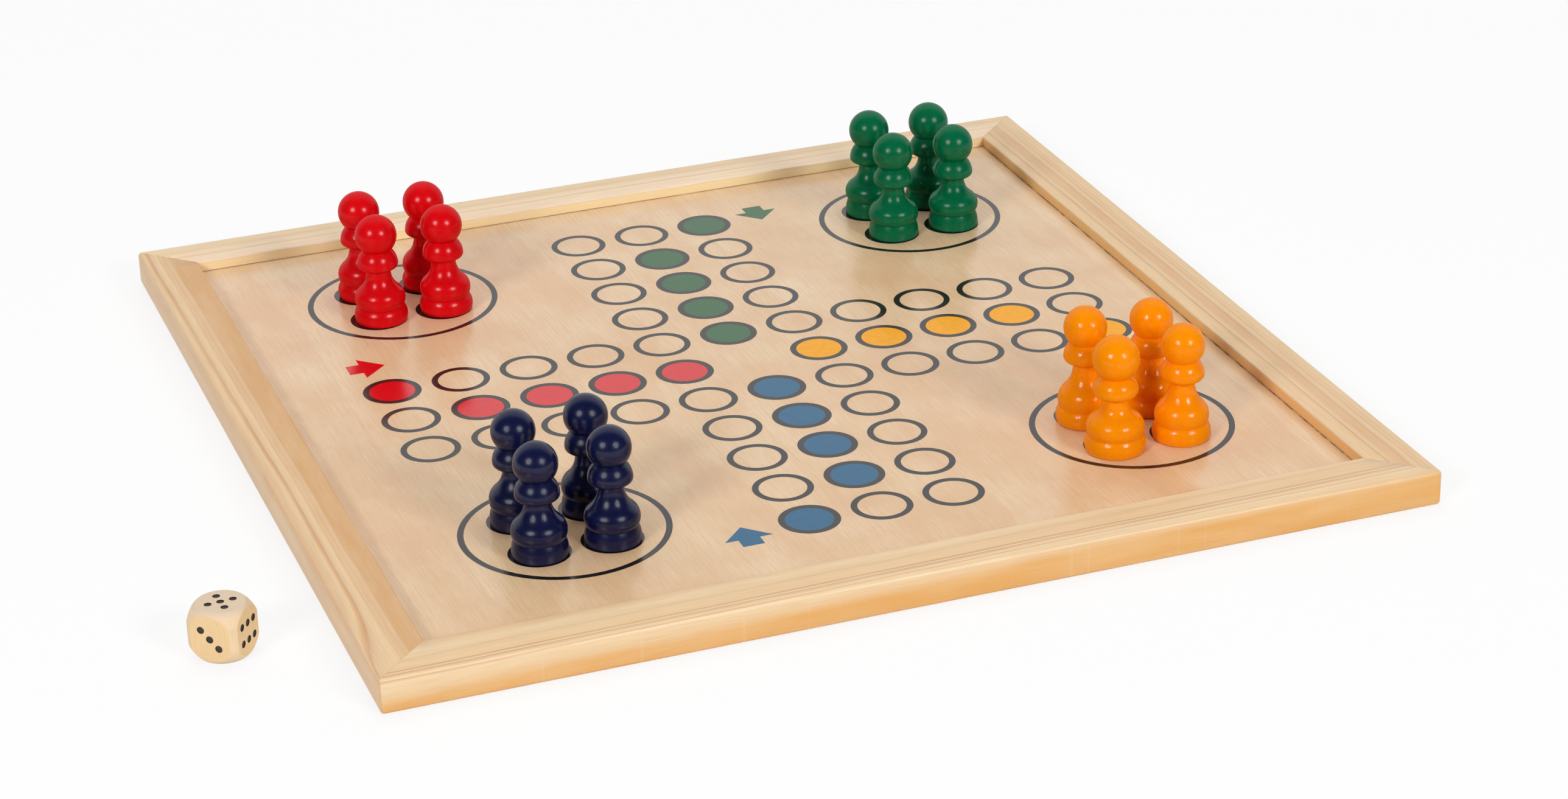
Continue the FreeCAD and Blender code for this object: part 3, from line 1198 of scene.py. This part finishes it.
studio = {
    "skyFront": 0.1,
    "skyBack": 0.6,
    "skyEdge": (-0.2, 0.7),
    "mirrorFront": 0.05,
    "mirrorEdge": (0.1, 0.6),
    "backdrop": (0.3, 0.94, 0.1),
    "softLights": {   # lights for the surfaces, and glints that only show in reflections
        "leftLight": {"azimuth": -53, "elevation": 30, "width": 1.1, "power": 65.0, "isGlint": False},
        "rightLight": {"azimuth": 22, "elevation": 27, "width": 1.1, "power": 65.0, "isGlint": False},
        "topLight": {"azimuth": 170, "elevation": 75, "width": 3.5, "power": 54.0, "isGlint": False},
        "leftGlint": {"azimuth": -53, "elevation": 30, "width": 1.2, "power": 115.0, "isGlint": True},
        "rightGlint": {"azimuth": 22, "elevation": 27, "width": 1.2, "power": 115.0, "isGlint": True},
    },
    "lightReach": 4.0,
    "floorReach": 12.0,
    "floorWhite": 0.95,
    "floorGlow": 0.78,
}


def setCamera():
    bpy.ops.object.camera_add(location=photoCamera["place"],
                              rotation=[math.radians(angle) for angle in photoCamera["turn"]])
    camera = bpy.context.object
    camera.name = "photoCamera"
    camera.data.sensor_fit = "HORIZONTAL"
    camera.data.sensor_width = photoCamera["sensor"]
    camera.data.lens = photoCamera["lens"]
    camera.data.clip_start = photoCamera["nearest"]
    bpy.context.scene.camera = camera


def setLights():
    for name, values in studio["softLights"].items():
        azimuth = math.radians(values["azimuth"])
        elevation = math.radians(values["elevation"])
        flat = math.cos(elevation)
        toLight = Vector((math.sin(azimuth) * flat, -math.cos(azimuth) * flat, math.sin(elevation)))
        turn = toLight.to_track_quat("Z", "Y").to_euler()
        bpy.ops.object.light_add(type="AREA", location=toLight * studio["lightReach"], rotation=turn)
        lamp = bpy.context.object
        lamp.name = name
        lamp.data.shape = "DISK"
        lamp.data.size = values["width"]
        lamp.data.energy = values["power"]
        lamp.visible_glossy = values["isGlint"]
        lamp.visible_diffuse = not values["isGlint"]


def setWorld():
    world = bpy.data.worlds.new("studioWorld")
    bpy.context.scene.world = world
    world.use_nodes = True
    world.cycles.sampling_method = "NONE"   # the sky differs by kind of ray
    tree = world.node_tree
    path = add(tree, "LightPath").outputs
    direction = add(tree, "TexCoord").outputs["Generated"]
    inputs = {0: direction, 1: studio["backdrop"]}
    facing = add(tree, "VectorMath", inputs, operation="DOT_PRODUCT").outputs["Value"]
    sky = fade(tree, facing, *studio["skyEdge"], studio["skyFront"], studio["skyBack"])
    mirrored = fade(tree, facing, *studio["mirrorEdge"], studio["mirrorFront"], 1.0)
    seen = calc(tree, "MAXIMUM", path["Is Camera Ray"], path["Is Transmission Ray"])
    level = calc(tree, "MAXIMUM", seen, sky)
    extra = times(tree, path["Is Glossy Ray"], calc(tree, "SUBTRACT", mirrored, sky))
    background = tree.nodes["Background"]
    background.inputs["Color"].default_value = (1, 1, 1, 1)
    feed(tree, background.inputs["Strength"], calc(tree, "ADD", level, extra))


def setFloor():
    clearSelection()
    bpy.ops.mesh.primitive_plane_add(size=studio["floorReach"], location=(0, 0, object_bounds()[0].z))
    floor = bpy.context.object
    floor.name = "paleTable"
    material = bpy.data.materials.new("paleTable")
    material.use_nodes = True
    tree = material.node_tree
    tree.nodes.remove(tree.nodes["Principled BSDF"])
    white = studio["floorWhite"]
    plain = add(tree, "BsdfDiffuse", {"Color": (white, white, white, 1)}).outputs[0]
    glow = add(tree, "Emission", {"Color": (1, 1, 1, 1), "Strength": 1.0}).outputs[0]
    path = add(tree, "LightPath").outputs
    seen = calc(tree, "MAXIMUM", path["Is Camera Ray"], path["Is Glossy Ray"])
    seen = calc(tree, "MAXIMUM", seen, path["Is Transmission Ray"])
    share = times(tree, seen, studio["floorGlow"])
    mixed = add(tree, "MixShader", {0: share, 1: plain, 2: glow}).outputs[0]
    feed(tree, tree.nodes["Material Output"].inputs["Surface"], mixed)
    floor.data.materials.append(material)


clearSelection()
makeRails()
finishPanel()
makePrint()
makePawns()
makeDie()
setCamera()
setLights()
setWorld()
setFloor()
bpy.context.scene.view_settings.view_transform = "Standard"
clearSelection()
